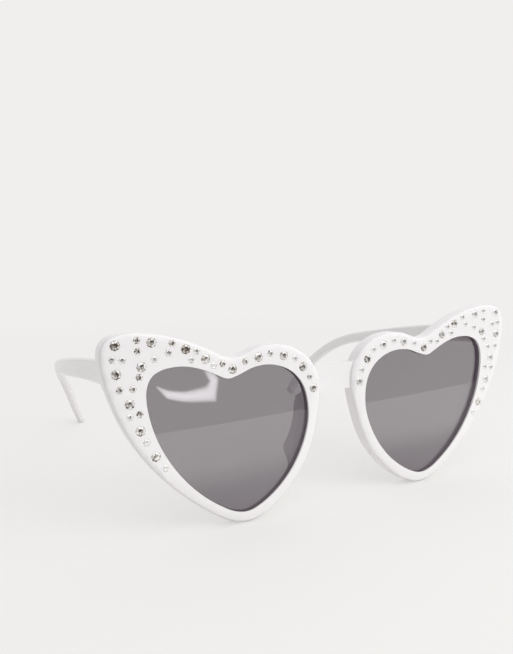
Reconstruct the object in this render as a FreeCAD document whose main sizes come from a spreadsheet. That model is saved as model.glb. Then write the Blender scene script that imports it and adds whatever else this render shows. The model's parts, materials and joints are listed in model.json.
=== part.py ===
"""Heart shaped sunglasses: a moulded front with stone-set brows, two lenses and two folding arms.

Every piece is drawn in the front's own frame: X across the face (the wearer's right is -X),
Y backwards from the front face, Z up the front from the lowest point of the lens openings.
One stance placement then sets the whole object down on its rims and arm tips.
"""
import FreeCAD, Part
import math
import os

V = FreeCAD.Vector
NO_TURN = FreeCAD.Rotation()
RIGHT, LEFT = -1, 1
SIDES = {"right": RIGHT, "left": LEFT}

# Driving dimensions in millimetres, kept in the document's sheet
SIZES = {
    # lens openings, rims and cat-eye wings
    "lens_width": 50.0,
    "lens_height": 44.3,
    "nose_gap": 20.8,
    "rim_width": 3.2,
    "brow_width": 6.0,
    "wing_reach": 14.6,
    "wing_rise": 11.6,
    "rim_depth": 4.5,
    "edge_bevel": 0.8,
    "outline_tolerance": 0.15,
    # bridge and moulded nose pads
    "bridge_height": 9.0,
    "bridge_recess": 1.3,
    "bridge_arch": 0.9,
    "pad_reach": 6.5,
    "pad_end": 0.3,
    "pad_root": 2.0,
    # end pieces behind the wings
    "end_depth": 5.5,
    "end_length": 8.2,
    "end_height": 8.5,
    # lenses in their grooves
    "lens_thickness": 1.8,
    "lens_set_back": 0.5,
    "lens_radius": 1200.0,
    "groove_depth": 0.8,
    "fit_gap": 0.06,
    # stones in their seats
    "large_stone": 2.7,
    "small_stone": 1.95,
    "seat_depth": 0.8,
    "stone_crown": 0.5,
    # arms
    "temple_reach": 119.5,
    "temple_fall": 36.0,
    "temple_toe_in": 15.1,
    "temple_thickness": 3.0,
    "temple_root": 7.0,
    "temple_waist": 4.3,
    # hinges
    "arm_inset": 0.3,
    "joint_gap": 0.3,
    "hinge_height": 6.0,
    "knuckle_diameter": 2.6,
    "knuckle_gap": 0.1,
    "pin_diameter": 1.4,
    "pin_gap": 0.05,
    "leaf_thickness": 1.0,
    "leaf_length": 9.0,
    "leaf_height": 5.0,
    "leaf_sink": 0.5,
    "tongue_depth": 3.6,
    "head_diameter": 2.3,
    "head_height": 0.7,
    "slot_width": 0.4,
    "slot_depth": 0.35,
    # how far a cutting tool runs past what it cuts
    "overrun": 4.0,
}

# Control points of the heart opening, from the cleft over the outer lobe and round by the tip:
# share of the lens width away from the nose, share of the lens height up
HEART_SHARES = (
    (0.525, 0.86), (0.575, 0.92), (0.755, 1.0), (0.865, 1.0), (0.98, 0.97), (1.015, 0.815),
    (0.97, 0.595), (0.875, 0.36), (0.71, 0.15), (0.54, 0.025), (0.42, -0.025), (0.205, 0.12),
    (0.07, 0.31), (-0.01, 0.54), (0.01, 0.81), (0.165, 0.94), (0.35, 0.965),
)
# Step from each of those points out to the outer edge: shares, sideways and up, of the sizes named
RIM_SHARES = (
    ("brow_width", -0.4, "brow_width", 0.95),
    ("brow_width", 0.23, "brow_width", 1.13),
    ("brow_width", 0.0, "brow_width", 1.2),
    ("wing_reach", 0.46, "wing_rise", 0.9),
    ("wing_reach", 1.0, "wing_rise", 1.0),
    ("wing_reach", 0.65, "wing_rise", 0.14),
    ("wing_reach", 0.5, "wing_rise", 0.0),
    ("rim_width", 1.25, "rim_width", -0.5),
    ("rim_width", 0.8, "rim_width", -0.45),
    ("rim_width", 0.6, "rim_width", -0.8),
    ("rim_width", -0.3, "rim_width", -1.1),
    ("rim_width", -0.4, "rim_width", -1.05),
    ("rim_width", -1.2, "rim_width", -0.25),
    ("rim_width", -0.9, "rim_width", 0.0),
    ("brow_width", -1.1, "brow_width", 0.45),
    ("brow_width", -0.57, "brow_width", 1.08),
    ("brow_width", -0.15, "brow_width", 0.9),
)
# Stones of one heart: share of the way round the rim, share of the way from the lens to the edge
STONE_SHARES = {"large_stone": (
    (0.0, 0.42), (0.08, 0.49), (0.119, 0.64), (0.174, 0.72), (0.225, 0.83), (0.228, 0.25),
    (0.265, 0.68), (0.302, 0.48), (0.343, 0.47), (0.384, 0.45), (0.808, 0.5), (0.848, 0.49),
    (0.889, 0.49), (0.938, 0.45),
), "small_stone": (
    (0.033, 0.62), (0.062, 0.34), (0.098, 0.68), (0.112, 0.28), (0.141, 0.76), (0.156, 0.43),
    (0.192, 0.28), (0.192, 0.79), (0.206, 0.54), (0.239, 0.59), (0.247, 0.76), (0.251, 0.2),
    (0.277, 0.32), (0.285, 0.66), (0.317, 0.27), (0.322, 0.62), (0.361, 0.46), (0.404, 0.4),
    (0.827, 0.49), (0.868, 0.58), (0.915, 0.53), (0.968, 0.53),
)}
LARGE_STONE_SIDES = 8
SMALL_STONE_SIDES = 6
TABLE_SHARE = 0.56
BACK_SHARE = 0.6

# Control points of a nose pad's foot, up beside the nose and down inside the opening: share of the
# lens width away from the nose, share of the lens height up
PAD_SHARES = (
    (0.056, 0.19), (-0.016, 0.385), (-0.056, 0.565), (-0.06, 0.7), (-0.008, 0.75), (0.092, 0.68),
    (0.112, 0.5), (0.152, 0.27), (0.122, 0.147),
)
PAD_FLARE_DEGREES = 20.0
# Heights of the bridge, the ends and middle of the nose pads and the hinges, as shares of the lens
# height
BRIDGE_HEIGHT_SHARE = 0.8
PAD_FOOT_SHARE = 0.14
PAD_MIDDLE_SHARE = 0.44
PAD_TOP_SHARE = 0.74
HINGE_HEIGHT_SHARE = 0.985

# Stations along an arm: shares of its reach, fall and toe-in, then of its height, where 0 is the
# height of the waist and 1 that of the root
TEMPLE_SHARES = (
    (0.0, 0.0, 0.0, 1.0), (0.11, 0.014, -0.01, 0.9), (0.24, 0.035, -0.07, 0.74),
    (0.41, 0.08, -0.115, 0.52), (0.59, 0.14, -0.047, 0.19), (0.72, 0.21, 0.1, 0.0),
    (0.815, 0.333, 0.29, 0.0), (0.905, 0.545, 0.55, 0.04), (0.97, 0.78, 0.786, 0.1),
    (1.0, 1.0, 1.0, 0.05),
)
ARM_SECTIONS = 15
# Radius of an arm's long corners and bevel of its tip, as shares of its half thickness
CORNER_SHARE = 0.6
CORNER_STEPS = 1
TIP_SHARE = 0.4
# The middle knuckle's share of the hinge's height
MIDDLE_KNUCKLE_SHARE = 0.34
STANCE_ROUNDS = 6
STANCE_TOLERANCE = 0.02
FLATNESS = 1e-6


def make_sheet(doc):
    """Write the driving dimensions to the sheet and return a reader for them."""
    sheet = doc.addObject("Spreadsheet::Sheet", "sizes")
    for row, (alias, value) in enumerate(SIZES.items(), start=1):
        sheet.set(f"A{row}", alias)
        sheet.set(f"B{row}", str(value))
        sheet.setAlias(f"B{row}", alias)
    doc.recompute()
    return sheet.get


def bind(item, **formulas):
    """Bind properties of an object to formulas of the sheet's cells."""
    for name, formula in formulas.items():
        item.setExpression(name, formula)


def closed_curve(points):
    """Smooth closed curve that the given control points pull into shape."""
    curve = Part.BSplineCurve()
    curve.buildFromPoles(points, True, 3)
    return curve


def curve_point(curve, share):
    first, last = curve.FirstParameter, curve.LastParameter
    return curve.value(first + (share % 1.0) * (last - first))


def outline(size, points, grow=0.0):
    """Closed curve as a chain of arcs that run smoothly into each other, moved out by a distance."""
    curve = closed_curve(points)
    curve.setNotPeriodic()
    wire = Part.Wire([arc.toShape() for arc in curve.toBiArcs(size("outline_tolerance"))])
    if grow:
        wire = wire.makeOffset2D(grow)
    arcs = []
    for edge in wire.OrderedEdges:
        middle = (edge.FirstParameter + edge.LastParameter) / 2
        ends = [edge.valueAt(edge.FirstParameter), edge.valueAt(edge.LastParameter)]
        arcs.append(Part.Arc(ends[0], edge.valueAt(middle), ends[1]))
    return arcs


def heart_points(size, side):
    """Control points of one opening, in the front's X and Z."""
    nose = size("nose_gap") / 2
    return [V(side * (nose + across * size("lens_width")), up * size("lens_height"), 0)
            for across, up in HEART_SHARES]


def rim_points(size, side):
    """Control points of one rim's outer edge."""
    return [point + V(side * across * size(wide), up * size(high), 0)
            for point, (wide, across, high, up) in zip(heart_points(size, side), RIM_SHARES)]


def stone_places(size, side, shares):
    """Centres of stones: along the rim, then between its lens edge and its outer edge."""
    inner = closed_curve(heart_points(size, side))
    outer = closed_curve(rim_points(size, side))
    places = []
    for along, across in shares:
        start = curve_point(inner, along - 1 / len(HEART_SHARES))
        end = curve_point(outer, along - 1 / len(HEART_SHARES))
        places.append(start + (end - start) * across)
    return places


def hinge_places(size):
    """Key distances of the hinge, all positive: outer face, pin axis and butt of the arm."""
    height = size("lens_height") * HINGE_HEIGHT_SHARE
    foot = height - size("temple_root") / 2
    level = Part.LineSegment(V(0, foot, 0), V(size("lens_width") * 2, foot, 0))
    crossings = closed_curve(rim_points(size, LEFT)).intersectCC(level)
    outer = max(point.X for point in crossings) - size("arm_inset")
    barrel = size("knuckle_diameter") / 2
    return {
        "outer": outer,
        "pin_x": outer - size("temple_thickness") - size("joint_gap") - barrel,
        "pin_y": size("end_depth") + size("joint_gap") + barrel,
        "butt": size("end_depth") + size("joint_gap"),
        "leaf_start": size("end_depth") + 2 * (size("joint_gap") + barrel),
        "height": height,
    }


def add_sketch(body, name, geometry, depth=0.0, plane="XZ_Plane"):
    """Sketch on the body's front plane, moved back by a depth, or on another of its planes."""
    base = next(item for item in body.Origin.OriginFeatures if item.Role == plane)
    sketch = body.newObject("Sketcher::SketchObject", name)
    sketch.AttachmentSupport = [(base, "")]
    sketch.MapMode = "FlatFace"
    sketch.AttachmentOffset = FreeCAD.Placement(V(0, 0, -depth), NO_TURN)
    for item in geometry:
        sketch.addGeometry(item, False)
    return sketch


def polygon(points):
    return [Part.LineSegment(a, b) for a, b in zip(points, points[1:] + points[:1])]


def add_pad(body, name, sketch, length):
    pad = body.newObject("PartDesign::Pad", name)
    pad.Profile = sketch
    pad.Reversed = True
    bind(pad, Length=length)
    return pad


def add_pocket(body, name, sketch, length):
    pocket = body.newObject("PartDesign::Pocket", name)
    pocket.Profile = sketch
    bind(pocket, Length=length)
    return pocket


def outer_edges(shape, depth):
    """Names of the edges round the flat faces that lie at a depth."""
    rims = []
    for face in shape.Faces:
        box = face.BoundBox
        if abs(box.YMin - depth) < FLATNESS and abs(box.YMax - depth) < FLATNESS:
            rims += face.OuterWire.Edges
    return [f"Edge{number}" for number, edge in enumerate(shape.Edges, start=1)
            if any(edge.isSame(other) for other in rims)]


def add_bevel(body, name, base, edges, size):
    bevel = body.newObject("PartDesign::Chamfer", name)
    bevel.Base = (base, edges)
    bind(bevel, Size=size)
    return bevel


def bridge_outline(size):
    """Bridge between the rims: a dipped top and an arched underside."""
    reach = (size("nose_gap") - size("rim_width")) / 2
    middle = size("lens_height") * BRIDGE_HEIGHT_SHARE
    high = middle + size("bridge_height") / 2
    low = middle - size("bridge_height") / 2
    arch = size("bridge_arch")
    top = [V(-reach, high, 0), V(0, high - arch / 2, 0), V(reach, high, 0)]
    under = [V(reach, low, 0), V(0, low + arch, 0), V(-reach, low, 0)]
    return [Part.Arc(*top), Part.LineSegment(top[2], under[0]),
            Part.Arc(*under), Part.LineSegment(under[2], top[0])]


def back_outline(size, hinge):
    """Area behind the rims that is lower than the end pieces."""
    inside = hinge["outer"] - size("end_length")
    foot = hinge["height"] - size("end_height") / 2
    far = hinge["outer"] + size("overrun")
    top = size("lens_height") + size("wing_rise") + size("overrun")
    bottom = -size("rim_width") * 2 - size("overrun")
    return polygon([V(-far, bottom, 0), V(far, bottom, 0), V(far, foot, 0), V(inside, foot, 0),
                    V(inside, top, 0), V(-inside, top, 0), V(-inside, foot, 0), V(-far, foot, 0)])


def pad_points(size, side):
    """Control points of a nose pad's foot on the back of a rim."""
    nose = size("nose_gap") / 2
    return [V(side * (nose + across * size("lens_width")), up * size("lens_height"), 0)
            for across, up in PAD_SHARES]


def pad_back_outline(size):
    """Side view of what is cut from the pads: all that lies outside their curved back edge."""
    end = size("rim_depth") + size("pad_end")
    far = size("rim_depth") + size("pad_reach") + size("overrun")
    top = V(end, size("lens_height") * PAD_TOP_SHARE, 0)
    middle = V(size("rim_depth") + size("pad_reach"), size("lens_height") * PAD_MIDDLE_SHARE, 0)
    foot = V(end, size("lens_height") * PAD_FOOT_SHARE, 0)
    corners = [foot, V(end, -size("overrun"), 0), V(far, -size("overrun"), 0),
               V(far, size("lens_height"), 0), V(end, size("lens_height"), 0), top]
    sides = [Part.LineSegment(a, b) for a, b in zip(corners, corners[1:])]
    return [Part.Arc(top, middle, foot), *sides]


def add_nose_pads(body, size):
    """Moulded fins behind the rims beside the nose, flared away from it, with a curved back edge."""
    feet = []
    for side in SIDES.values():
        feet += outline(size, pad_points(size, side))
    plan = add_sketch(body, "pad_plan", feet, size("rim_depth") - size("pad_root"))
    pads = add_pad(body, "nose_pads", plan, "sizes.pad_root + sizes.pad_reach")
    pads.TaperAngle = -PAD_FLARE_DEGREES
    plan = add_sketch(body, "pad_back_plan", pad_back_outline(size), plane="YZ_Plane")
    backs = add_pocket(body, "pad_backs", plan, "2 * sizes.nose_gap")
    backs.Midplane = True


def make_front_body(doc, size, hinge):
    """The moulded front before its lens grooves and hinge slots are cut."""
    body = doc.addObject("PartDesign::Body", "front_moulding")
    plan = add_sketch(body, "bridge_plan", bridge_outline(size), size("bridge_recess"))
    add_pad(body, "bridge", plan, "sizes.rim_depth - sizes.bridge_recess")
    rims = []
    hearts = []
    for side in SIDES.values():
        rims += outline(size, rim_points(size, side))
        hearts += outline(size, heart_points(size, side))
    add_pad(body, "rims", add_sketch(body, "rim_plan", rims), "sizes.end_depth")
    plan = add_sketch(body, "back_plan", back_outline(size, hinge), size("rim_depth"))
    add_pocket(body, "rim_backs", plan, "sizes.overrun")
    add_nose_pads(body, size)
    plan = add_sketch(body, "opening_plan", hearts)
    openings = add_pocket(body, "openings", plan, "sizes.rim_depth + 2 * sizes.pad_reach")
    doc.recompute()
    outer = outer_edges(openings.Shape, 0)
    add_bevel(body, "rim_edges", openings, outer, "sizes.edge_bevel")
    return body


def add_blank(doc, size, name, side, grow, gap):
    """Bent sheet with the lens outline: the lens itself, or the tool for its groove."""
    body = doc.addObject("PartDesign::Body", f"{name}_outline")
    edge = outline(size, heart_points(size, side), grow)
    add_pad(body, f"{name}_pad", add_sketch(body, f"{name}_plan", edge), "sizes.rim_depth")
    foot = V(side * (size("nose_gap") + size("lens_width")) / 2,
             size("lens_set_back") + size("lens_radius"), -size("lens_height"))
    drums = []
    for face, radius in (("front", f"sizes.lens_radius + {gap}"),
                         ("back", f"sizes.lens_radius - sizes.lens_thickness - {gap}")):
        drums.append(add_cylinder(doc, f"{name}_{face}_drum", foot, radius,
                                  "3 * sizes.lens_height"))
    sheet = add_boolean(doc, "Part::Cut", f"{name}_sheet", *drums)
    return add_boolean(doc, "Part::Common", name, body, sheet)


def add_boolean(doc, kind, name, base, tool):
    result = doc.addObject(kind, name)
    result.Base = base
    result.Tool = tool
    return result


def add_fuse(doc, name, pieces):
    result = doc.addObject("Part::MultiFuse", name)
    result.Shapes = pieces
    return result


def add_box(doc, name, corner, **formulas):
    """Block with one corner at a point, its sides bound to the sheet."""
    box = doc.addObject("Part::Box", name)
    bind(box, **formulas)
    box.Placement = FreeCAD.Placement(corner, NO_TURN)
    return box


def add_cylinder(doc, name, foot, radius, height):
    cylinder = doc.addObject("Part::Cylinder", name)
    bind(cylinder, Radius=radius, Height=height)
    cylinder.Placement = FreeCAD.Placement(foot, NO_TURN)
    return cylinder


def lowest_x(side, near, far):
    """Corner of a block between two distances from the middle, on either side."""
    return min(side * near, side * far)


def add_tongue_slot(doc, size, hinge, name, side):
    """Tool for the slot in the back of an end piece that holds the hinge's tongue."""
    half = size("leaf_thickness") / 2 + size("fit_gap")
    corner = V(lowest_x(side, hinge["pin_x"] - half, hinge["pin_x"] + half),
               size("end_depth") - size("tongue_depth") - size("fit_gap"),
               hinge["height"] - size("hinge_height") / 2 - size("fit_gap"))
    return add_box(doc, f"{name}_tongue_slot", corner,
                   Length="sizes.leaf_thickness + 2 * sizes.fit_gap",
                   Width="sizes.tongue_depth + sizes.fit_gap + sizes.overrun",
                   Height="sizes.hinge_height + 2 * sizes.fit_gap")


def stone_ring(diameter, reach, depth, turn=0.0):
    """Corners of one level of a stone, or of its seat."""
    sides = LARGE_STONE_SIDES if diameter == "large_stone" else SMALL_STONE_SIDES
    angles = [2 * math.pi * (i + turn) / sides for i in range(sides)]
    return [V(reach * math.cos(a), depth, reach * math.sin(a)) for a in angles]


def add_seats(doc, size, name, side):
    """Tools for the stone seats of one rim, each shaped as its stone with a gap round it."""
    tools = []
    for diameter, shares in STONE_SHARES.items():
        ring = stone_ring(diameter, size(diameter) / 2 + size("fit_gap"), size("seat_depth"))
        floor = Part.Face(Part.makePolygon(ring + ring[:1]))
        seat = floor.extrude(V(0, -size("seat_depth") - size("overrun"), 0))
        tools += [seat.translated(V(place.x, 0, place.y))
                  for place in stone_places(size, side, shares)]
    seats = doc.addObject("Part::Feature", f"{name}_seats")
    seats.Shape = Part.makeCompound(tools)
    return seats


def make_front_frame(doc, size, hinge):
    """The front with lens grooves, slots for the hinge tongues and a seat for each stone."""
    front = make_front_body(doc, size, hinge)
    tools = []
    for name, side in SIDES.items():
        tools.append(add_blank(doc, size, f"{name}_groove", side,
                               size("groove_depth") + size("fit_gap"), "sizes.fit_gap"))
        tools.append(add_tongue_slot(doc, size, hinge, name, side))
        tools.append(add_seats(doc, size, name, side))
    cuts = doc.addObject("Part::Compound", "front_cuts")
    cuts.Links = tools
    return add_boolean(doc, "Part::Cut", "front_frame", front, cuts)


def stone_solid(size, diameter):
    """Faceted flat-backed stone that stands on the floor of its seat."""
    girdle = size(diameter) / 2
    back = stone_ring(diameter, girdle * BACK_SHARE, size("seat_depth"))
    middle = stone_ring(diameter, girdle, 0.0)
    table = stone_ring(diameter, girdle * TABLE_SHARE, -size("stone_crown"), 0.5)
    outlines = [back, table]
    for i, corner in enumerate(middle):
        after = (i + 1) % len(middle)
        outlines.append([back[i], back[after], middle[after], corner])
        outlines.append([corner, middle[after], table[i]])
        outlines.append([table[i], middle[after], table[after]])
    faces = [Part.Face(Part.makePolygon(points + points[:1])) for points in outlines]
    solid = Part.makeSolid(Part.makeShell(faces))
    if solid.Volume < 0:
        solid.reverse()
    return solid


def make_stones(doc, size, name, side, shares, diameter):
    """All stones of one size in one rim, as separate solids."""
    stone = stone_solid(size, diameter)
    places = stone_places(size, side, shares)
    group = doc.addObject("Part::Feature", name)
    group.Shape = Part.makeCompound([stone.translated(V(p.x, 0, p.y)) for p in places])
    return group


def arm_curves(size, hinge, side):
    """The line along the middle of an arm, a graph of its half height beside it, its length."""
    centres = []
    heights = []
    for reach, fall, toe_in, tall in TEMPLE_SHARES:
        across = hinge["outer"] - size("temple_thickness") / 2 - toe_in * size("temple_toe_in")
        centres.append(V(side * across, hinge["butt"] + reach * size("temple_reach"),
                         hinge["height"] - fall * size("temple_fall")))
        heights.append(size("temple_waist") + tall * (size("temple_root") - size("temple_waist")))
    lengths = [0.0]
    for before, after in zip(centres, centres[1:]):
        lengths.append(lengths[-1] + (after - before).Length)
    spine = Part.BSplineCurve()
    spine.interpolate(Points=centres, Parameters=lengths)
    graph = Part.BSplineCurve()
    graph.interpolate(Points=[V(place, height / 2, 0) for place, height in zip(lengths, heights)],
                      Parameters=lengths)
    return spine, graph, lengths[-1]


def rounded_section(half_thick, half_height):
    """Upright rectangle whose corners are rounded in short straight steps."""
    radius = half_thick * CORNER_SHARE
    points = []
    for quarter in range(4):
        start = quarter * math.pi / 2
        middle = start + math.pi / 4
        corner = V(math.copysign(half_thick - radius, math.cos(middle)),
                   math.copysign(half_height - radius, math.sin(middle)), 0)
        for step in range(CORNER_STEPS + 1):
            angle = start + math.pi / 2 * step / CORNER_STEPS
            points.append(corner + V(math.cos(angle), math.sin(angle), 0) * radius)
    return polygon(points)


def add_arm_section(doc, name, side, centre, along, section):
    """Sketch of one section, square to the arm's middle line."""
    outward = V(side, 0, 0)
    outward = (outward - along * outward.dot(along)).normalize()
    upward = outward.cross(along) * side
    sketch = doc.addObject("Sketcher::SketchObject", name)
    turn = FreeCAD.Rotation(outward, upward, outward.cross(upward), "ZXY")
    sketch.Placement = FreeCAD.Placement(centre, turn)
    sketch.addGeometry(section, False)
    return sketch


def tip_edges(shape):
    """Numbers of the edges round the flat end that lies furthest back and down."""
    tip = min(shape.Faces, key=lambda face: face.CenterOfMass.z)
    return [number for number, edge in enumerate(shape.Edges, start=1)
            if any(edge.isSame(other) for other in tip.Edges)]


def make_temple(doc, size, hinge, name, side):
    """Arm lofted through rounded sections, with a bevelled tip and a recess for its hinge leaf."""
    spine, graph, length = arm_curves(size, hinge, side)
    sketches = []
    for number in range(ARM_SECTIONS):
        place = length * number / (ARM_SECTIONS - 1)
        along = spine.tangent(place)[0] if number else V(0, 1, 0)
        section = rounded_section(size("temple_thickness") / 2, graph.value(place).y)
        sketches.append(add_arm_section(doc, f"{name}_section_{number}", side,
                                        spine.value(place), along, section))
    loft = doc.addObject("Part::Loft", f"{name}_loft")
    loft.Sections = sketches
    loft.Solid = True
    doc.recompute()
    bevelled = doc.addObject("Part::Chamfer", f"{name}_bevelled")
    bevelled.Base = loft
    bevel = size("temple_thickness") / 2 * TIP_SHARE
    bevelled.Edges = [(number, bevel, bevel) for number in tip_edges(loft.Shape)]
    inner = hinge["outer"] - size("temple_thickness")
    gap = size("fit_gap")
    corner = V(lowest_x(side, inner + size("leaf_sink") + gap, inner - size("overrun")),
               hinge["leaf_start"] - gap, hinge["height"] - size("leaf_height") / 2 - gap)
    recess = add_box(doc, f"{name}_recess", corner,
                     Length="sizes.leaf_sink + sizes.fit_gap + sizes.overrun",
                     Width="sizes.leaf_length + 2 * sizes.fit_gap",
                     Height="sizes.leaf_height + 2 * sizes.fit_gap")
    return add_boolean(doc, "Part::Cut", name, bevelled, recess)


def knuckle_levels(size, hinge):
    """Foot and top of the lower, middle and upper knuckles."""
    foot = hinge["height"] - size("hinge_height") / 2
    top = hinge["height"] + size("hinge_height") / 2
    half = size("hinge_height") * MIDDLE_KNUCKLE_SHARE / 2
    gap = size("knuckle_gap")
    return ((foot, hinge["height"] - half - gap), (hinge["height"] - half, hinge["height"] + half),
            (hinge["height"] + half + gap, top))


def add_bore(doc, size, hinge, name, side):
    """Drill along the pin axis, past both ends of the hinge."""
    foot = hinge["height"] - size("hinge_height") / 2 - size("overrun")
    return add_cylinder(doc, f"{name}_bore", V(side * hinge["pin_x"], hinge["pin_y"], foot),
                        "sizes.pin_diameter / 2 + sizes.pin_gap",
                        "sizes.hinge_height + 2 * sizes.overrun")


SIDE_KNUCKLE = f"sizes.hinge_height * {(1 - MIDDLE_KNUCKLE_SHARE) / 2} - sizes.knuckle_gap"
MIDDLE_KNUCKLE = f"sizes.hinge_height * {MIDDLE_KNUCKLE_SHARE}"


def make_front_leaf(doc, size, hinge, name, side):
    """Two knuckles on necks that run into a tongue sunk in the end piece."""
    lower, _, upper = knuckle_levels(size, hinge)
    pin = V(side * hinge["pin_x"], hinge["pin_y"], 0)
    half = size("leaf_thickness") / 2
    pieces = []
    for place, (foot, _) in (("lower", lower), ("upper", upper)):
        pieces.append(add_cylinder(doc, f"{name}_{place}_knuckle", pin + V(0, 0, foot),
                                   "sizes.knuckle_diameter / 2", SIDE_KNUCKLE))
        corner = V(pin.x - half, size("end_depth") - size("tongue_depth") / 2, foot)
        pieces.append(add_box(doc, f"{name}_{place}_neck", corner,
                              Length="sizes.leaf_thickness", Height=SIDE_KNUCKLE,
                              Width="sizes.tongue_depth / 2 + sizes.joint_gap"
                                    " + sizes.knuckle_diameter / 2"))
    corner = V(pin.x - half, size("end_depth") - size("tongue_depth"), lower[0])
    pieces.append(add_box(doc, f"{name}_tongue", corner, Length="sizes.leaf_thickness",
                          Width="sizes.tongue_depth", Height="sizes.hinge_height"))
    blank = add_fuse(doc, f"{name}_blank", pieces)
    return add_boolean(doc, "Part::Cut", name, blank, add_bore(doc, size, hinge, name, side))


def make_temple_leaf(doc, size, hinge, name, side):
    """One knuckle on a neck that runs into a plate let into the arm's inner face."""
    _, middle, _ = knuckle_levels(size, hinge)
    pin = V(side * hinge["pin_x"], hinge["pin_y"], 0)
    knuckle = add_cylinder(doc, f"{name}_knuckle", pin + V(0, 0, middle[0]),
                           "sizes.knuckle_diameter / 2", MIDDLE_KNUCKLE)
    plate_far = hinge["outer"] - size("temple_thickness") + size("leaf_sink")
    plate_near = plate_far - size("leaf_thickness")
    plate = add_box(doc, f"{name}_plate",
                    V(lowest_x(side, plate_near, plate_far), hinge["leaf_start"],
                      hinge["height"] - size("leaf_height") / 2),
                    Length="sizes.leaf_thickness", Width="sizes.leaf_length",
                    Height="sizes.leaf_height")
    neck_near = hinge["pin_x"]
    neck = add_box(doc, f"{name}_neck",
                   V(lowest_x(side, neck_near, plate_near + size("joint_gap")), hinge["pin_y"],
                     middle[0]),
                   Width="sizes.knuckle_diameter / 2 + 2 * sizes.joint_gap",
                   Height=MIDDLE_KNUCKLE)
    neck.Length = plate_near + size("joint_gap") - neck_near
    blank = add_fuse(doc, f"{name}_blank", [knuckle, neck, plate])
    return add_boolean(doc, "Part::Cut", name, blank, add_bore(doc, size, hinge, name, side))


def make_screw(doc, size, hinge, name, side):
    """Slotted hinge screw: its shank is the pin, its head sits on the upper knuckle."""
    foot = hinge["height"] - size("hinge_height") / 2
    top = hinge["height"] + size("hinge_height") / 2
    pin = V(side * hinge["pin_x"], hinge["pin_y"], 0)
    shank = add_cylinder(doc, f"{name}_shank", pin + V(0, 0, foot), "sizes.pin_diameter / 2",
                         "sizes.hinge_height")
    head = add_cylinder(doc, f"{name}_head", pin + V(0, 0, top), "sizes.head_diameter / 2",
                        "sizes.head_height")
    corner = pin + V(-size("head_diameter"), -size("slot_width") / 2,
                     top + size("head_height") - size("slot_depth"))
    slot = add_box(doc, f"{name}_slot", corner, Length="2 * sizes.head_diameter",
                   Width="sizes.slot_width", Height="sizes.slot_depth + sizes.overrun")
    return add_boolean(doc, "Part::Cut", name, add_fuse(doc, f"{name}_blank", [shank, head]), slot)


def surface_points(shape):
    return shape.tessellate(STANCE_TOLERANCE)[0]


def lowest(points, lean):
    """The point that is lowest when the front leans back by an angle."""
    return min(points, key=lambda p: p.z * math.cos(lean) - p.y * math.sin(lean))


def stance(front, temple, shapes):
    """Placement that sets the rims and the arm tips on the ground, centred on the origin."""
    front_points, temple_points = surface_points(front), surface_points(temple)
    lean = 0.0
    for _ in range(STANCE_ROUNDS):
        rim, tip = lowest(front_points, lean), lowest(temple_points, lean)
        lean = math.atan2(tip.z - rim.z, tip.y - rim.y)
    turn = FreeCAD.Rotation(V(1, 0, 0), -math.degrees(lean))
    box = FreeCAD.BoundBox()
    for shape in shapes:
        for point in surface_points(shape):
            box.add(turn.multVec(point))
    return FreeCAD.Placement(V(0, -(box.YMin + box.YMax) / 2, -box.ZMin), turn)


def check(doc, parts):
    for item in doc.Objects:
        if "Invalid" in item.State or "Error" in item.State:
            raise RuntimeError(f"{item.Name} failed: {item.State}")
    for name, item in parts.items():
        if item.Shape.isNull() or not item.Shape.isValid() or not item.Shape.Solids:
            raise RuntimeError(f"{name} has no valid solid")


def main():
    doc = FreeCAD.newDocument("heart_sunglasses")
    size = make_sheet(doc)
    hinge = hinge_places(size)
    parts = {"front_frame": make_front_frame(doc, size, hinge)}
    for name, side in SIDES.items():
        parts[f"{name}_lens"] = add_blank(doc, size, f"{name}_lens", side,
                                          size("groove_depth"), "0")
        for diameter, shares in STONE_SHARES.items():
            label = f"{name}_{diameter}s"
            parts[label] = make_stones(doc, size, label, side, shares, diameter)
        for label, make in ((f"{name}_temple", make_temple),
                            (f"{name}_front_hinge_leaf", make_front_leaf),
                            (f"{name}_temple_hinge_leaf", make_temple_leaf),
                            (f"{name}_hinge_screw", make_screw)):
            parts[label] = make(doc, size, hinge, label, side)
    doc.recompute()
    check(doc, parts)
    stand = stance(parts["front_frame"].Shape, parts["right_temple"].Shape,
                   [item.Shape for item in parts.values()])
    for label, item in parts.items():
        item.Label = label
        item.Placement = stand
    check(doc, parts)
    os.makedirs("parts", exist_ok=True)
    for item in parts.values():
        item.Shape.exportStep(f"parts/{item.Label}.step")
    pin = stand.multVec(V(hinge["pin_x"], hinge["pin_y"], hinge["height"]))
    print("left hinge pin at", pin, "along", stand.Rotation.multVec(V(0, 0, 1)))


main()
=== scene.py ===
"""White heart shaped sunglasses with stone-set brows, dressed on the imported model."""
import json
import math

import bmesh
import bpy
from bpy.props import FloatProperty, FloatVectorProperty, IntProperty, PointerProperty
from bpy.types import Operator, Panel, PropertyGroup
from mathutils import Matrix, Vector, kdtree


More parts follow.
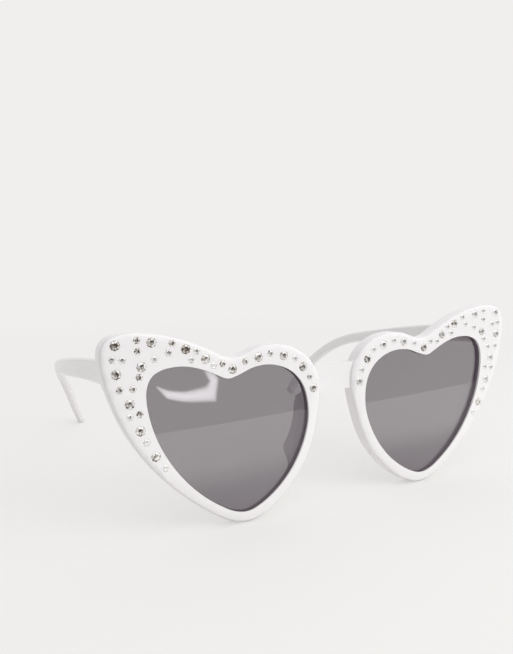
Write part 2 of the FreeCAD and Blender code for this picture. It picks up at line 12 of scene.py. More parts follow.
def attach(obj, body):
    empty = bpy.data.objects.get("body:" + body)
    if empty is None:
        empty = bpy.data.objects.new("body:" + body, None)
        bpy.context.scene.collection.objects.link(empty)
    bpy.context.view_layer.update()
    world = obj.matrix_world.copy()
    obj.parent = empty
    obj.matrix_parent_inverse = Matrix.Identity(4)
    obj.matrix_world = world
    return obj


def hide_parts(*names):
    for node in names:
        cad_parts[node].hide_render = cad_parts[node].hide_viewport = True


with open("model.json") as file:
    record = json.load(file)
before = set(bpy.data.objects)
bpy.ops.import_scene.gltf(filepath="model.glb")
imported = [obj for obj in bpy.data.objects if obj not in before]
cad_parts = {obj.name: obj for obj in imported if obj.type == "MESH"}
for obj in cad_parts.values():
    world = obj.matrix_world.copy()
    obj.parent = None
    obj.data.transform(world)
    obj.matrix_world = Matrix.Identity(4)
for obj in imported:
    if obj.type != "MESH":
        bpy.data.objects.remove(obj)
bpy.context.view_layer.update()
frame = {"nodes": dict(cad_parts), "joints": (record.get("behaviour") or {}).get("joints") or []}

bl_info = {
    "name": "Heart sunglasses",
    "version": (1, 0, 0),
    "blender": (4, 5, 0),
    "location": "3D View > Sidebar > Sunglasses",
    "description": "Dresses heart shaped sunglasses with polished plastic, grey lenses and cut stones",
    "category": "Object",
}

PICTURE_HEIGHT = 654
SENSOR = 36.0
CLIP_START = 0.01

FRONT_BODY = "front"
ARMS = {"right_temple": "right_arm", "left_temple": "left_arm"}
LENSES = ("right_lens", "left_lens")
STONES = ("right_large_stones", "left_large_stones", "right_small_stones", "left_small_stones")
HINGE_LEAVES = ("right_front_hinge_leaf", "left_front_hinge_leaf",
                "right_temple_hinge_leaf", "left_temple_hinge_leaf")
SCREWS = ("right_hinge_screw", "left_hinge_screw")

# The front's own directions: up along it, across it and out of its face
UP = Vector(frame["joints"][0]["axis"])
UP *= math.copysign(1.0, UP.z)
ACROSS = Vector((1.0, 0.0, 0.0))
OUT = ACROSS.cross(UP)

# From the front back to the ear ends
BACK = Vector((0.0, 1.0, 0.0))

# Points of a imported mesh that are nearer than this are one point
MERGE_DISTANCE = 1e-6

# Walls of the lens openings: how near to a lens they lie, how far behind it they begin,
# and how much they may face forwards or back
SEAT_REACH = 0.0015
SEAT_STEP = 0.0003
WALL_LEAN = 0.2

# Tones of the painted reflections on a stone's facets: on one side of the stone, and what is added
# towards the other
TABLE_TONE = (0.75, -0.6)
STAR_TONE = (0.7, -0.2)
KITE_TONE = (0.5, 0.3)
FIRST_HALF_TONE = (0.35, 0.25)
SECOND_HALF_TONE = (0.45, 0.25)
GIRDLE_TONE = 0.4
BACK_TONE = 1.0

# What chance gives: a stone's turn in radians, and what the tones of a stone and of a facet gain
TURN_CHANCE = (-0.3, 1.9)
STONE_CHANCE = (-0.25, 0.2)
FACET_CHANCE = (-0.35, 0.35)

# Brush marks are long from front to back
BRUSH_STRETCH = (1.0, 0.05, 1.0)

# Where the dim corner and the white behind begin and are full: cosines of the angle to their middle
CORNER_EDGE = (0.75, 0.95)
BACK_EDGE = (0.0, 0.4)

# The lit ribbon: places across and down with the width there, in millimetres, the glow from
# edge to edge, and the share of it that the two ends have
RIBBON_STOPS = ((-43, -6, 3), (-28, 2, 11), (-7, 4, 13), (12, 2, 17), (28, 0, 24), (32, -14, 15),
                (19, -31, 11))
RIBBON_GLOW = (0.0, 0.8, 1.0, 0.8, 0.0)
RIBBON_END_GLOW = 0.4
MILLIMETRES = 1000


def colour(name, description, default):
    """A colour that a user may change."""
    return FloatVectorProperty(name=name, description=description, default=default, subtype="COLOR",
                               size=3, min=0.0, max=1.0)


class PlasticLook(PropertyGroup):
    """Polished white plastic of the front and the arms."""
    white: colour("White", "Main colour of the moulding", (0.88, 0.865, 0.868))
    shade: colour("Shade", "Deeper white of the moulding's faint clouding", (0.85, 0.832, 0.835))
    cloud_scale: FloatProperty(name="Cloud scale", description="Clouds per metre", default=90.0)
    grain_scale: FloatProperty(name="Grain scale", description="Polish marks per metre",
                               default=1400.0)
    grain_height: FloatProperty(name="Grain height", description="Depth of the polish marks",
                                default=0.00001, precision=6, unit="LENGTH")
    smoothest: FloatProperty(name="Smoothest", description="Roughness of the best polished places",
                             default=0.16, subtype="FACTOR")
    wear: FloatProperty(name="Wear", description="How much rougher the other places are",
                        default=0.1, subtype="FACTOR")
    gloss_index: FloatProperty(name="Gloss", description="Refractive index of the plastic",
                               default=1.5)
    seat_bevel: FloatProperty(name="Seat bevel", description="Bevel of the rims behind the lenses",
                              default=0.0013, precision=4, unit="LENGTH")
    sharp_angle: FloatProperty(name="Sharp angle", description="Edges steeper than this stay sharp",
                               default=math.radians(62), subtype="ANGLE")


class LensLook(PropertyGroup):
    """Grey see-through lenses."""
    dye: colour("Dye", "Colour of the dye", (0.055, 0.03, 0.053))
    pale_dye: colour("Pale dye", "Colour of the dye where it took less", (0.065, 0.038, 0.06))
    cover: FloatProperty(name="Cover", description="Share of the light that one face holds back",
                         default=0.475, subtype="FACTOR")
    cover_change: FloatProperty(name="Cover change", description="How unevenly the dye took",
                                default=0.02, subtype="FACTOR")
    # Painted shade at the lens's foot: a further share held back, the height where it begins and the
    # height where it is full
    painted_shade_cover: FloatProperty(name="Foot cover", description="Further share held back at the foot",
                              default=0.125, subtype="FACTOR")
    painted_shade_top: FloatProperty(name="Foot top", description="Height below which the dye deepens",
                            default=0.0195, precision=4, unit="LENGTH")
    painted_shade_full: FloatProperty(name="Foot full", description="Height below which the dye is deepest",
                             default=0.008, precision=4, unit="LENGTH")
    cloud_scale: FloatProperty(name="Cloud scale", description="Clouds per metre", default=40.0)
    gloss_index: FloatProperty(name="Gloss", description="Refractive index of the hard coat",
                               default=2.0)
    roughness: FloatProperty(name="Roughness", description="Roughness of the polish", default=0.02,
                             subtype="FACTOR")


class StoneLook(PropertyGroup):
    """Cut stones with a bright back."""
    table_share: FloatProperty(name="Table share", description="Table's width in stone widths",
                               default=0.52, subtype="FACTOR")
    kite_share: FloatProperty(name="Kite share", description="Middle ring's width in stone widths",
                              default=0.8, subtype="FACTOR")
    kite_height_share: FloatProperty(name="Kite height", description="Middle ring's share of the crown",
                                     default=0.55, subtype="FACTOR")
    crown_share: FloatProperty(name="Crown share", description="Crown height in stone widths",
                               default=0.17, subtype="FACTOR")
    back_share: FloatProperty(name="Back share", description="Depth of the back in stone widths",
                              default=0.25, subtype="FACTOR")
    sink_share: FloatProperty(name="Sink share", description="Depth below the front in stone widths",
                              default=0.03, subtype="FACTOR")
    sides: IntProperty(name="Sides", description="Main facets round a stone", default=8, min=5)
    seed: IntProperty(name="Seed", description="Seed of the turns and tones", default=11)
    # Painted light: stones are painted paler towards the wearer's left, by this much per metre
    painted_light_lean: FloatProperty(name="Painted light lean", description="Tone gained per metre to the wearer's left",
                             default=3.4)
    large_tone: FloatProperty(name="Large tone", description="Tone added to the large stones",
                              default=0.03)
    small_tone: FloatProperty(name="Small tone", description="Tone added to the small stones",
                              default=0.29)
    # Colours of the painted reflections on the facets, picked by each facet's tone
    bright: colour("Bright", "Facets that throw the light back", (0.93, 0.93, 0.92))
    middle: colour("Middle", "Facets between", (0.58, 0.54, 0.48))
    dark: colour("Dark", "Facets that show the inside of the stone", (0.16, 0.125, 0.098))
    bright_from: FloatProperty(name="Bright from", description="Tone from which facets are bright",
                               default=0.65, subtype="FACTOR")
    middle_at: FloatProperty(name="Middle at", description="Tone of the facets between",
                             default=0.4, subtype="FACTOR")
    dark_to: FloatProperty(name="Dark to", description="Tone up to which facets are dark",
                           default=0.2, subtype="FACTOR")
    mirror: FloatProperty(name="Mirror", description="How much the bright back mirrors",
                          default=0.6, subtype="FACTOR")
    smoothest: FloatProperty(name="Smoothest", description="Roughness of the darkest facets",
                             default=0.07, subtype="FACTOR")
    softness: FloatProperty(name="Softness", description="How much rougher the bright facets are",
                            default=0.08, subtype="FACTOR")
    coat_roughness: FloatProperty(name="Coat roughness", description="Roughness of the stones' polish",
                                  default=0.02, subtype="FACTOR")


class MetalLook(PropertyGroup):
    """Nickel plated hinges and their screws."""
    nickel: colour("Nickel", "Colour of the hinge leaves", (0.62, 0.6, 0.57))
    steel: colour("Steel", "Colour of the screws", (0.52, 0.52, 0.52))
    brush_scale: FloatProperty(name="Brush scale", description="Brush marks per metre",
                               default=2600.0)
    brush_height: FloatProperty(name="Brush height", description="Depth of the brush marks",
                                default=0.00001, precision=6, unit="LENGTH")
    smoothest: FloatProperty(name="Smoothest", description="Roughness of the best plated places",
                             default=0.22, subtype="FACTOR")
    wear: FloatProperty(name="Wear", description="How much rougher the brush marks are",
                        default=0.2, subtype="FACTOR")


class StageLook(PropertyGroup):
    """Paper, room, lights and camera."""
    paper: colour("Paper", "Colour of the paper", (0.875, 0.865, 0.85))
    paper_shade: colour("Paper shade", "Colour of the paper's faint mottling", (0.85, 0.835, 0.815))
    paper_reach: FloatProperty(name="Paper reach", description="How far the paper goes all ways",
                               default=12.0, unit="LENGTH")
    mottle_scale: FloatProperty(name="Mottle scale", description="Mottles per metre", default=3.0)
    paper_glow: FloatProperty(name="Paper glow", description="How far shadows on the paper are lifted",
                              default=0.56, subtype="FACTOR")
    fade_near: FloatProperty(name="Fade start", description="Where the paper starts to fade into white",
                             default=0.17, unit="LENGTH")
    fade_far: FloatProperty(name="Fade end", description="Where the paper has faded into white",
                            default=0.45, unit="LENGTH")
    paper_front: FloatProperty(name="Paper front", description="Where the paper ends for the lenses",
                               default=-0.255, unit="LENGTH")

    room_low: colour("Low room", "Light from the sides of the room", (0.42, 0.42, 0.425))
    room_high: FloatProperty(name="High room", description="Light from the brightest side of the room",
                             default=1.22)
    room_way: FloatVectorProperty(name="Room way", description="Direction of the room's bright side",
                                  default=(0.35, -0.2, 0.91), subtype="DIRECTION")
    corner: colour("Corner", "Light from the dim corner that the lenses face", (0.14, 0.13, 0.14))
    corner_way: FloatVectorProperty(name="Corner way", description="Direction of the dim corner",
                                    default=(0.447, -0.893, 0.05), subtype="DIRECTION")

    key_power: FloatProperty(name="Key light", description="Power of the wide soft key light",
                             default=0.72, unit="POWER")
    key_width: FloatProperty(name="Key width", description="Width of the key light",
                             default=0.34, unit="LENGTH")
    key_place: FloatVectorProperty(name="Key place", description="Where the key light hangs",
                                   default=(0.24, -0.42, 0.27), subtype="TRANSLATION",
                                   unit="LENGTH")
    key_target: FloatVectorProperty(name="Key target", description="What the key light points at",
                                    default=(0.0, -0.06, 0.03), subtype="TRANSLATION",
                                    unit="LENGTH")
    ribbon_tint: colour("Ribbon tint", "Colour of the lit ribbon in the room", (1.0, 0.97, 0.99))
    ribbon_strength: FloatProperty(name="Ribbon", description="Strength of the lit ribbon in the room",
                                   default=7.5)
    ribbon_place: FloatVectorProperty(name="Ribbon place", description="Where the lit ribbon hangs",
                                      default=(0.113, -0.531, -0.005), subtype="TRANSLATION",
                                      unit="LENGTH")

    camera_place: FloatVectorProperty(name="Camera", description="Where the camera stands",
                                      default=(-0.10823, -0.21977, 0.08309),
                                      subtype="TRANSLATION", unit="LENGTH")
    camera_turn: FloatProperty(name="Turn", description="Camera's turn to the right",
                               default=math.radians(26.895), subtype="ANGLE")
    camera_tilt: FloatProperty(name="Tilt", description="Camera's tilt downwards",
                               default=math.radians(8.42), subtype="ANGLE")
    camera_roll: FloatProperty(name="Roll", description="Camera's roll about its own line of sight",
                               default=math.radians(-0.51), subtype="ANGLE")
    focal_pixels: FloatProperty(name="Focal length", description="Focal length in picture pixels",
                                default=633.6)


class SunglassesLook(PropertyGroup):
    """Everything that a user would change."""
    plastic: PointerProperty(type=PlasticLook)
    lens: PointerProperty(type=LensLook)
    stone: PointerProperty(type=StoneLook)
    metal: PointerProperty(type=MetalLook)
    stage: PointerProperty(type=StageLook)


class Value:
    """A node's output that takes part in Python arithmetic."""

    def __init__(self, sheet, socket):
        self.sheet = sheet
        self.socket = socket

    def maths(self, operation, first, second):
        return self.sheet.node("ShaderNodeMath", {0: first, 1: second}, operation=operation)

    def __add__(self, other):
        return self.maths("ADD", self, other)

    __radd__ = __add__

    def __sub__(self, other):
        return self.maths("SUBTRACT", self, other)

    def __rsub__(self, other):
        return self.maths("SUBTRACT", other, self)

    def __mul__(self, other):
        return self.maths("MULTIPLY", self, other)

    __rmul__ = __mul__


class NodeSheet:
    """A node tree with one way to add to it."""

    def __init__(self, tree):
        self.tree = tree

    def node(self, kind, sockets=None, output=0, stops=None, **settings):
        """Add a node with its settings, feed its sockets and return one of its outputs."""
        made = self.tree.nodes.new(kind)
        for name, value in settings.items():
            setattr(made, name, value)
        if stops:
            points = made.color_ramp.elements
            while len(points) < len(stops):
                points.new(1.0)
            for point, (place, shade) in zip(points, stops):
                point.position = place
                point.color = (*shade, 1.0)
        for key, value in (sockets or {}).items():
            socket = made.inputs[key]
            if isinstance(value, Value):
                self.tree.links.new(value.socket, socket)
            elif socket.type == "RGBA":
                socket.default_value = (*value, 1.0)
            else:
                socket.default_value = value
        return Value(self, made.outputs[output]) if made.outputs else None

    def mix(self, share, first, second):
        """Blend of two colours, at most all of the second."""
        return self.node("ShaderNodeMix", {0: share, 6: first, 7: second}, output=2,
                         data_type="RGBA")

    def ramp(self, value, low, high):
        """Smooth rise from 0, where a value is low, to 1, where it is high."""
        return self.node("ShaderNodeMapRange", {"Value": value, "From Min": low, "From Max": high},
                         interpolation_type="SMOOTHSTEP")

    def seen_rays(self):
        """1 for each kind of ray that shows the background."""
        return {name: self.node("ShaderNodeLightPath", output=f"Is {name} Ray")
                for name in ("Camera", "Glossy", "Transmission")}


class Paint(NodeSheet):
    """One material and the nodes that make it."""

    def __init__(self, name):
        self.material = bpy.data.materials.new(name)
        self.material.use_nodes = True
        super().__init__(self.material.node_tree)
        self.tree.nodes.clear()

    def noise(self, scale, detail=2.0, stretch=(1.0, 1.0, 1.0)):
        """Soft random pattern that is fixed to the piece."""
        place = self.node("ShaderNodeTexCoord", output="Object")
        place = self.node("ShaderNodeMapping", {"Vector": place, "Scale": stretch})
        return self.node("ShaderNodeTexNoise", {"Vector": place, "Scale": scale, "Detail": detail})

    def bump(self, height, distance):
        """Normals of marks that are a distance deep."""
        return self.node("ShaderNodeBump", {"Height": height, "Distance": distance})

    def surface(self, sockets):
        """End in a principled surface and return the material."""
        shader = self.node("ShaderNodeBsdfPrincipled", sockets)
        self.node("ShaderNodeOutputMaterial", {"Surface": shader})
        return self.material


def white_plastic(look):
    """Polished white plastic with faint clouding and fine polish marks."""
    paint = Paint("white_plastic")
    grain = paint.noise(look.grain_scale, detail=3.0)
    return paint.surface({
        "Base Color": paint.mix(paint.noise(look.cloud_scale), look.white, look.shade),
        "Roughness": look.smoothest + look.wear * grain,
        "Normal": paint.bump(grain, look.grain_height),
        "IOR": look.gloss_index,
    })


def grey_lens(look):
    """Grey dyed sheet with painted shade darkening its foot: it shows what is behind it and mirrors
    what it faces.
    """
    paint = Paint("grey_lens")
    cloud = paint.noise(look.cloud_scale)
    place = paint.node("ShaderNodeTexCoord", output="Object")
    height = paint.node("ShaderNodeSeparateXYZ", {0: place}, "Z")
    # Painted shade: the lens is held darker towards its foot
    foot = paint.ramp(height, look.painted_shade_top, look.painted_shade_full)
    return paint.surface({
        "Base Color": paint.mix(cloud, look.dye, look.pale_dye),
        "Alpha": look.cover + look.cover_change * cloud + look.painted_shade_cover * foot,
        "Roughness": look.roughness * cloud,
        "IOR": look.gloss_index,
    })


def cut_stone(look):
    """Clear stone over a bright back that mirrors in part, with painted reflections: each facet's
    stored tone paints how bright it looks.
    """
    paint = Paint("cut_stone")
    # Painted reflection: each facet's stored tone picks its dark, middle or bright colour
    tone = paint.node("ShaderNodeAttribute", output="Fac", attribute_name="facet_tone")
    shade = paint.node("ShaderNodeValToRGB", {"Fac": tone}, stops=(
        (look.dark_to, look.dark), (look.middle_at, look.middle), (look.bright_from, look.bright)))
    return paint.surface({
        "Base Color": shade,
        "Metallic": look.mirror,
        "Roughness": look.smoothest + look.softness * tone,
        "Coat Weight": 1.0,
        "Coat Roughness": look.coat_roughness,
    })


def brushed_metal(name, shade, look):
    """Plated metal with fine brush marks."""
    paint = Paint(name)
    marks = paint.noise(look.brush_scale, detail=4.0, stretch=BRUSH_STRETCH)
    return paint.surface({
        "Base Color": shade,
        "Metallic": 1.0,
        "Roughness": look.smoothest + look.wear * marks,
        "Normal": paint.bump(marks, look.brush_height),
    })


def link(name, data):
    """Put a mesh, lamp or camera into the scene as an object."""
    thing = bpy.data.objects.new(name, data)
    bpy.context.scene.collection.objects.link(thing)
    return thing


def joined_form(node):
    """A node's triangles as one connected form, free to be changed."""
    form = bmesh.new()
    source = frame["nodes"][node].data
    points = [form.verts.new(point.co) for point in source.vertices]
    for face in source.polygons:
        form.faces.new([points[i] for i in face.vertices])
    bmesh.ops.remove_doubles(form, verts=form.verts, dist=MERGE_DISTANCE)
    return form


def depth(point):
    """How far back a point lies along the front's own line of sight."""
    return -point.co.dot(OUT)


def bevel_seats(form, width):
    """Slope the walls of the lens openings behind the lenses, except where the nose pads stand."""
    rims = [point for lens in LENSES for point in frame["nodes"][lens].data.vertices]
    near = kdtree.KDTree(len(rims))
    for number, point in enumerate(rims):
        near.insert((point.co.dot(ACROSS), point.co.dot(UP), 0.0), number)
    near.balance()
    lens_back = max(depth(point) for point in rims)
    moves = {}
    for face in form.faces:
        rear = [point for point in face.verts if depth(point) > lens_back + SEAT_STEP]
        beside = all(near.find((point.co.dot(ACROSS), point.co.dot(UP), 0.0))[2] < SEAT_REACH
                     for point in face.verts)
        if rear and beside and abs(face.normal.dot(OUT)) < WALL_LEAN:
            for point in rear:
                moves[point] = moves.get(point, Vector()) + face.normal
    rim_back = min(depth(point) for point in moves) + SEAT_STEP
    for point, way in moves.items():
        if all(depth(other) < rim_back for face in point.link_faces for other in face.verts):
            point.co -= (way - OUT * way.dot(OUT)).normalized() * width


def polished_copy(node, body, material, sharp_angle, shaping=None):
    """Piece that stands for a node, its bevels shaded round and its true edges kept sharp."""
    form = joined_form(node)
    if shaping:
        form.normal_update()
        shaping(form)
        form.normal_update()
    for face in form.faces:
        face.smooth = True
    for edge in form.edges:
        edge.smooth = edge.calc_face_angle(0.0) < sharp_angle
    mesh = bpy.data.meshes.new(f"{node}_polished")
    form.to_mesh(mesh)
    form.free()
    mesh.materials.append(material)
    piece = link(f"{node}_polished", mesh)
    rounding = piece.modifiers.new("rounding", "WEIGHTED_NORMAL")
    rounding.keep_sharp = True
    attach(piece, body)
    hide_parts(node)


def islands(form):
    """Groups of points that hang together."""
    done = set()
    groups = []
    for first in form.verts:
        if first in done:
            continue
        group = {first}
        edge_of_group = set(group)
        while edge_of_group:
            edge_of_group = {edge.other_vert(point) for point in edge_of_group
                             for edge in point.link_edges} - group
            group |= edge_of_group
        done |= group
        groups.append(group)
    return groups


def extent(points, direction):
    """Least and most that some points reach in a direction."""
    reach = [point.co.dot(direction) for point in points]
    return min(reach), max(reach)


def stone_seats(node):
    """Centres of a node's stones on the front's face, and their width."""
    form = joined_form(node)
    front = frame["nodes"]["front_frame"].data.vertices
    face_level = -min(depth(point) for point in front)
    seats, widths = [], []
    for group in islands(form):
        across, up = extent(group, ACROSS), extent(group, UP)
        widths.append(across[1] - across[0])
        seats.append(ACROSS * (sum(across) / 2) + UP * (sum(up) / 2) + OUT * face_level)
    form.free()
    return sorted(seats, key=lambda seat: (seat.x, seat.z)), max(widths)


def stone_form(look):
    """One stone of width 1 whose girdle lies at height 0 and whose table faces +Z."""
    sides = look.sides
    form = bmesh.new()

    def ring(width, height, count, turn=0.0):
        angles = [2 * math.pi * (i + turn) / count for i in range(count)]
        return [form.verts.new((width / 2 * math.cos(a), width / 2 * math.sin(a), height))
                for a in angles]

    tone = form.faces.layers.float.new("facet_tone")
    table = ring(look.table_share, look.crown_share, sides)
    kites = ring(look.kite_share, look.crown_share * look.kite_height_share, sides, turn=0.5)
    girdle = ring(1.0, 0.0, 2 * sides)
    back = ring(1.0, -look.back_share, 2 * sides)
    middle = form.verts.new((0.0, 0.0, look.crown_share))
    for i in range(sides):
        after = (i + 1) % sides
        low, half, high = girdle[2 * i], girdle[2 * i + 1], girdle[2 * after]
        # Painted lit side: how much of each tone's change a facet gets, by its side of the stone
        painted_side_share = 0.5 + 0.5 * math.cos(2 * math.pi * i / sides)
        for (plain, change), corners in ((TABLE_TONE, (middle, table[i], table[after])),
                                         (STAR_TONE, (table[i], kites[i], table[after])),
                                         (KITE_TONE, (table[i], kites[i - 1], low, kites[i])),
                                         (FIRST_HALF_TONE, (kites[i], low, half)),
                                         (SECOND_HALF_TONE, (kites[i], half, high))):
            form.faces.new(corners)[tone] = plain + change * painted_side_share
    for i in range(2 * sides):
        after = (i + 1) % (2 * sides)
        form.faces.new((girdle[i], back[i], back[after], girdle[after]))[tone] = GIRDLE_TONE
    form.faces.new(reversed(back))[tone] = BACK_TONE
    bmesh.ops.recalc_face_normals(form, faces=form.faces)
    mesh = bpy.data.meshes.new("stone_form")
    form.to_mesh(mesh)
    form.free()
    return mesh


class StoneSetting(NodeSheet):
    """Sets a turned copy of one stone on every point and gives each facet the tone of its painted
    reflection.
    """

    def __init__(self, material):
        super().__init__(bpy.data.node_groups.new("stone_setting", "GeometryNodeTree"))
        self.inputs = {}
        sockets = (("Seats", "NodeSocketGeometry"), ("Stone", "NodeSocketObject"),
                   ("Width", "NodeSocketFloat"), ("Facing", "NodeSocketRotation"),
                   ("Tone", "NodeSocketFloat"), ("Lean", "NodeSocketFloat"),
                   ("Seed", "NodeSocketInt"))
        for name, kind in sockets:
            made = self.tree.interface.new_socket(name, in_out="INPUT", socket_type=kind)
            self.inputs[name] = made.identifier
        self.tree.interface.new_socket("Stones", in_out="OUTPUT", socket_type="NodeSocketGeometry")
        given = self.tree.nodes.new("NodeGroupInput")
        given = {name: Value(self, given.outputs[name]) for name in self.inputs}
        stone = self.node("GeometryNodeObjectInfo", {"Object": given["Stone"]}, "Geometry")
        turn = self.chance(TURN_CHANCE, given["Seed"])
        spin = self.node("FunctionNodeAxisAngleToRotation", {"Axis": (0.0, 0.0, 1.0), "Angle": turn})
        facing = self.node("FunctionNodeRotateRotation",
                           {"Rotation": given["Facing"], "Rotate By": spin}, rotation_space="LOCAL")
        stones = self.node("GeometryNodeInstanceOnPoints",
                           {"Points": given["Seats"], "Instance": stone, "Rotation": facing,
                            "Scale": given["Width"]})
        # Painted light across the front: each stone's tone gains with its place towards the wearer's
        # left, beside its size tone and a random gain
        place = self.node("GeometryNodeInputPosition")
        side = self.node("ShaderNodeSeparateXYZ", {0: place}, "X")
        tone = given["Tone"] + given["Lean"] * side + self.chance(STONE_CHANCE, given["Seed"])
        stones = self.store(stones, "stone_tone", tone, "INSTANCE")
        stones = self.node("GeometryNodeRealizeInstances", {"Geometry": stones})
        # Each facet's painted reflection tone gains its stone's tone and a random part
        tone = (self.named("facet_tone") + self.named("stone_tone")
                + self.chance(FACET_CHANCE, given["Seed"]))
        stones = self.store(stones, "facet_tone", tone, "FACE")
        stones = self.node("GeometryNodeSetMaterial", {"Geometry": stones, "Material": material})
        self.node("NodeGroupOutput", {"Stones": stones})

    def chance(self, limits, seed):
        """Random number of each stone or facet."""
        low, high = limits
        return self.node("FunctionNodeRandomValue", {2: low, 3: high, "Seed": seed}, 1,
                         data_type="FLOAT")

    def named(self, name):
        """Tone that was stored before."""
        return self.node("GeometryNodeInputNamedAttribute", {"Name": name}, data_type="FLOAT")

    def store(self, geometry, name, value, domain):
        """Keep a tone with the stones or facets."""
        return self.node("GeometryNodeStoreNamedAttribute",
                         {"Geometry": geometry, "Name": name, "Value": value},
                         data_type="FLOAT", domain=domain)

    def set_stones(self, name, seats, **values):
        """Plain mesh of the stones that stand on some seats."""
        mesh = bpy.data.meshes.new(f"{name}_seats")
        mesh.from_pydata(seats, [], [])
        points = link(f"{name}_seats", mesh)
        setting = points.modifiers.new("setting", "NODES")
        setting.node_group = self.tree
        for key, value in values.items():
            setting[self.inputs[key]] = value
        graph = bpy.context.evaluated_depsgraph_get()
        result = bpy.data.meshes.new_from_object(points.evaluated_get(graph))
        points.modifiers.remove(setting)
        bpy.data.objects.remove(points)
        return result


class SUNGLASSES_OT_front(Operator):
    """Give the moulded front its polish"""
    bl_idname = "sunglasses.front"
    bl_label = "Front"

    def execute(self, context):
        look = context.scene.sunglasses.plastic
        polished_copy("front_frame", FRONT_BODY, white_plastic(look), look.sharp_angle,
                      lambda form: bevel_seats(form, look.seat_bevel))
        return {"FINISHED"}


class SUNGLASSES_OT_arms(Operator):
    """Give both arms their polish"""
    bl_idname = "sunglasses.arms"
    bl_label = "Arms"

    def execute(self, context):
        look = context.scene.sunglasses.plastic
        material = white_plastic(look)
        for node, body in ARMS.items():
            polished_copy(node, body, material, look.sharp_angle)
        return {"FINISHED"}


class SUNGLASSES_OT_lenses(Operator):
    """Put the grey lenses in"""
    bl_idname = "sunglasses.lenses"
    bl_label = "Lenses"

    def execute(self, context):
        looks = context.scene.sunglasses
        material = grey_lens(looks.lens)
        for node in LENSES:
            polished_copy(node, FRONT_BODY, material, looks.plastic.sharp_angle)
        return {"FINISHED"}


class SUNGLASSES_OT_stones(Operator):
    """Set a cut stone in every seat"""
    bl_idname = "sunglasses.stones"
    bl_label = "Stones"

    def execute(self, context):
        look = context.scene.sunglasses.stone
        stone = link("stone_form", stone_form(look))
        setting = StoneSetting(cut_stone(look))
        facing = Matrix((ACROSS, UP, OUT)).transposed().to_euler()
        for number, node in enumerate(STONES):
            seats, width = stone_seats(node)
            sunk = [seat - OUT * (width * look.sink_share) for seat in seats]
            mesh = setting.set_stones(node, sunk, Stone=stone, Width=width, Facing=facing,
                                      Tone=look.small_tone if "small" in node else look.large_tone,
                                      Lean=look.painted_light_lean, Seed=look.seed + number)
            piece = link(f"{node}_cut", mesh)
            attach(piece, FRONT_BODY)
            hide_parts(node)
        bpy.data.objects.remove(stone)
        return {"FINISHED"}


class SUNGLASSES_OT_hinges(Operator):
    """Plate the hinge leaves and their screws"""
    bl_idname = "sunglasses.hinges"
    bl_label = "Hinges"

    def execute(self, context):
        look = context.scene.sunglasses.metal
        nickel = brushed_metal("nickel", look.nickel, look)
        steel = brushed_metal("steel", look.steel, look)
        for nodes, material in ((HINGE_LEAVES, nickel), (SCREWS, steel)):
            for node in nodes:
                frame["nodes"][node].material_slots[0].material = material
        return {"FINISHED"}


def white_paper(look):
    """Matt white paper whose shadows are lifted where it is seen, and whose front the lenses miss."""
    paint = Paint("white_paper")
    shade = paint.mix(paint.noise(look.mottle_scale), look.paper, look.paper_shade)
    matt = paint.node("ShaderNodeBsdfPrincipled", {"Base Color": shade, "Roughness": 0.9,
                                                   "Specular IOR Level": 0.1})
    glow = paint.node("ShaderNodeEmission", {"Color": look.paper})
    place = paint.node("ShaderNodeTexCoord", output="Object")
    distance = paint.node("ShaderNodeVectorMath", {0: place}, "Value", operation="LENGTH")
    fade = paint.ramp(distance, look.fade_near, look.fade_far)
    lift = look.paper_glow + (1.0 - look.paper_glow) * fade
    rays = paint.seen_rays()
    paper = paint.node("ShaderNodeMixShader", {0: sum(rays.values()) * lift, 1: matt, 2: glow})
    row = paint.node("ShaderNodeSeparateXYZ", {0: place}, "Y")
    front = paint.node("ShaderNodeMath", {0: row, 1: look.paper_front}, operation="LESS_THAN")
    missed = front * (1.0 - rays["Camera"])
    clear = paint.node("ShaderNodeBsdfTransparent")
    paper = paint.node("ShaderNodeMixShader", {0: missed, 1: paper, 2: clear})
    paint.node("ShaderNodeOutputMaterial", {"Surface": paper})
    return paint.material


def lay_paper(look):
    """Lay a sheet of paper that reaches as far as the eye."""
    reach = look.paper_reach
    mesh = bpy.data.meshes.new("paper")
    mesh.from_pydata([(-reach, -reach, 0), (reach, -reach, 0), (reach, reach, 0), (-reach, reach, 0)],
                     [], [(0, 1, 2, 3)])
    mesh.materials.append(white_paper(look))
    link("paper", mesh)


def light_room(look):
    """World: soft room light, a dim corner that the lenses mirror, and white where it is seen."""
    world = bpy.data.worlds.new("room")
    world.use_nodes = True
    sheet = NodeSheet(world.node_tree)
    sheet.tree.nodes.clear()
    way = sheet.node("ShaderNodeTexCoord", output="Generated")
    rays = sheet.seen_rays()

    def towards(direction):
        return sheet.node("ShaderNodeVectorMath", {0: way, 1: Vector(direction).normalized()},
                          "Value", operation="DOT_PRODUCT")

    room = sheet.mix(towards(look.room_way), look.room_low, (look.room_high,) * 3)
    dim = sheet.ramp(towards(look.corner_way), *CORNER_EDGE)
    room = sheet.mix(rays["Glossy"] * dim, room, look.corner)
    behind = sheet.ramp(towards(BACK), *BACK_EDGE)
    seen = rays["Camera"] + rays["Transmission"] + rays["Glossy"] * behind
    glow = sheet.node("ShaderNodeBackground", {"Color": sheet.mix(seen, room, look.paper)})
    sheet.node("ShaderNodeOutputWorld", {"Surface": glow})
    return world


def hang_key_light(look):
    """Hang the wide soft lamp, which is neither seen nor mirrored."""
    lamp = bpy.data.lights.new("key_light", "AREA")
    lamp.shape = "DISK"
    lamp.energy = look.key_power
    lamp.size = look.key_width
    stand = link("key_light", lamp)
    stand.location = look.key_place
    aim = Vector(look.key_target) - Vector(look.key_place)
    stand.rotation_euler = aim.to_track_quat("-Z", "Y").to_euler()
    stand.visible_glossy = False
    stand.visible_camera = False


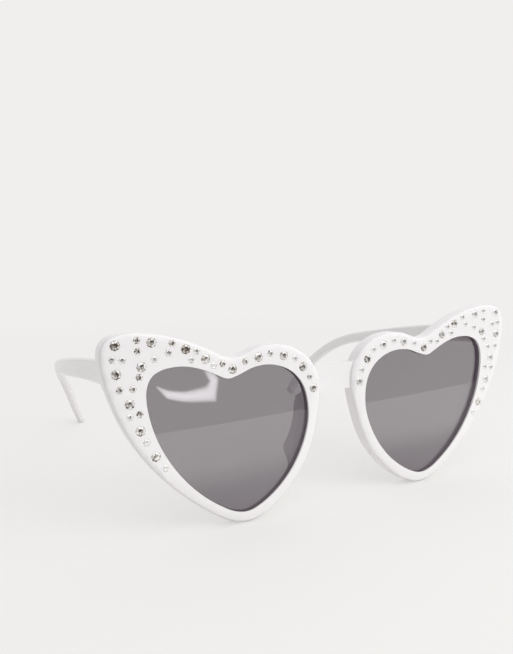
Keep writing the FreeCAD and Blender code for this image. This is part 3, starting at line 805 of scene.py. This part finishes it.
def place_camera(look):
    """Stand the camera at the picture's viewpoint and return how it is turned."""
    lens = bpy.data.cameras.new("camera")
    lens.sensor_width = SENSOR
    lens.lens = SENSOR * look.focal_pixels / PICTURE_HEIGHT
    lens.clip_start = CLIP_START
    turn = (Matrix.Rotation(-look.camera_turn, 4, "Z")
            @ Matrix.Rotation(math.pi / 2 - look.camera_tilt, 4, "X")
            @ Matrix.Rotation(look.camera_roll, 4, "Z"))
    camera = link("camera", lens)
    camera.matrix_world = Matrix.Translation(look.camera_place) @ turn
    bpy.context.scene.camera = camera
    return turn


def ribbon_mesh(across, down):
    """Ribbon of varying width whose glow is strongest along its middle."""
    points, glow = [], []
    last = len(RIBBON_STOPS) - 1
    count = len(RIBBON_GLOW)
    for number, (side, low, width) in enumerate(RIBBON_STOPS):
        before, after = RIBBON_STOPS[max(number - 1, 0)], RIBBON_STOPS[min(number + 1, last)]
        run = Vector((after[0] - before[0], after[1] - before[1])).normalized()
        for step, strength in enumerate(RIBBON_GLOW):
            reach = width * (step / (count - 1) - 0.5)
            place = across * (side - run.y * reach) + down * (low + run.x * reach)
            points.append(place / MILLIMETRES)
            glow.append(strength * (RIBBON_END_GLOW if number in (0, last) else 1.0))
    faces = [(i * count + j, i * count + j + 1, (i + 1) * count + j + 1, (i + 1) * count + j)
             for i in range(last) for j in range(count - 1)]
    mesh = bpy.data.meshes.new("ribbon")
    mesh.from_pydata(points, [], faces)
    mesh.attributes.new("glow", "FLOAT", "POINT").data.foreach_set("value", glow)
    return mesh


def lit_ribbon(look):
    """Glow that fades out at the ribbon's edges."""
    paint = Paint("lit_ribbon")
    glow = paint.node("ShaderNodeAttribute", output="Fac", attribute_name="glow")
    return paint.surface({
        "Base Color": (0.0, 0.0, 0.0),
        "Alpha": glow,
        "Emission Color": look.ribbon_tint,
        "Emission Strength": look.ribbon_strength,
    })


def hang_ribbon(look, turn):
    """Hang the lit ribbon, which only mirrors show, square to the mirrored line of sight."""
    across, up = (Vector(turn.col[i][:3]).reflect(OUT) for i in range(2))
    mesh = ribbon_mesh(across, -up)
    mesh.transform(Matrix.Translation(look.ribbon_place))
    mesh.materials.append(lit_ribbon(look))
    ribbon = link("ribbon", mesh)
    ribbon.visible_camera = False
    ribbon.visible_diffuse = False
    ribbon.visible_shadow = False


class SUNGLASSES_OT_stage(Operator):
    """Lay the paper, light the room and place the camera"""
    bl_idname = "sunglasses.stage"
    bl_label = "Stage"

    def execute(self, context):
        look = context.scene.sunglasses.stage
        lay_paper(look)
        context.scene.world = light_room(look)
        hang_key_light(look)
        turn = place_camera(look)
        hang_ribbon(look, turn)
        context.scene.view_settings.view_transform = "Standard"
        return {"FINISHED"}


OPERATORS = (SUNGLASSES_OT_front, SUNGLASSES_OT_arms, SUNGLASSES_OT_lenses, SUNGLASSES_OT_stones,
             SUNGLASSES_OT_hinges, SUNGLASSES_OT_stage)


class SUNGLASSES_PT_panel(Panel):
    """Lists the pieces of the sunglasses"""
    bl_idname = "SUNGLASSES_PT_panel"
    bl_label = "Heart sunglasses"
    bl_space_type = "VIEW_3D"
    bl_region_type = "UI"
    bl_category = "Sunglasses"

    def draw(self, context):
        for piece in OPERATORS:
            self.layout.operator(piece.bl_idname)


CLASSES = (PlasticLook, LensLook, StoneLook, MetalLook, StageLook, SunglassesLook, *OPERATORS,
           SUNGLASSES_PT_panel)


def register():
    for item in CLASSES:
        bpy.utils.register_class(item)
    bpy.types.Scene.sunglasses = PointerProperty(type=SunglassesLook)


def unregister():
    del bpy.types.Scene.sunglasses
    for item in reversed(CLASSES):
        bpy.utils.unregister_class(item)


def main():
    register()
    for step in (bpy.ops.sunglasses.front, bpy.ops.sunglasses.arms, bpy.ops.sunglasses.lenses,
                 bpy.ops.sunglasses.stones, bpy.ops.sunglasses.hinges, bpy.ops.sunglasses.stage):
        step()


if __name__ == "__main__":
    main()
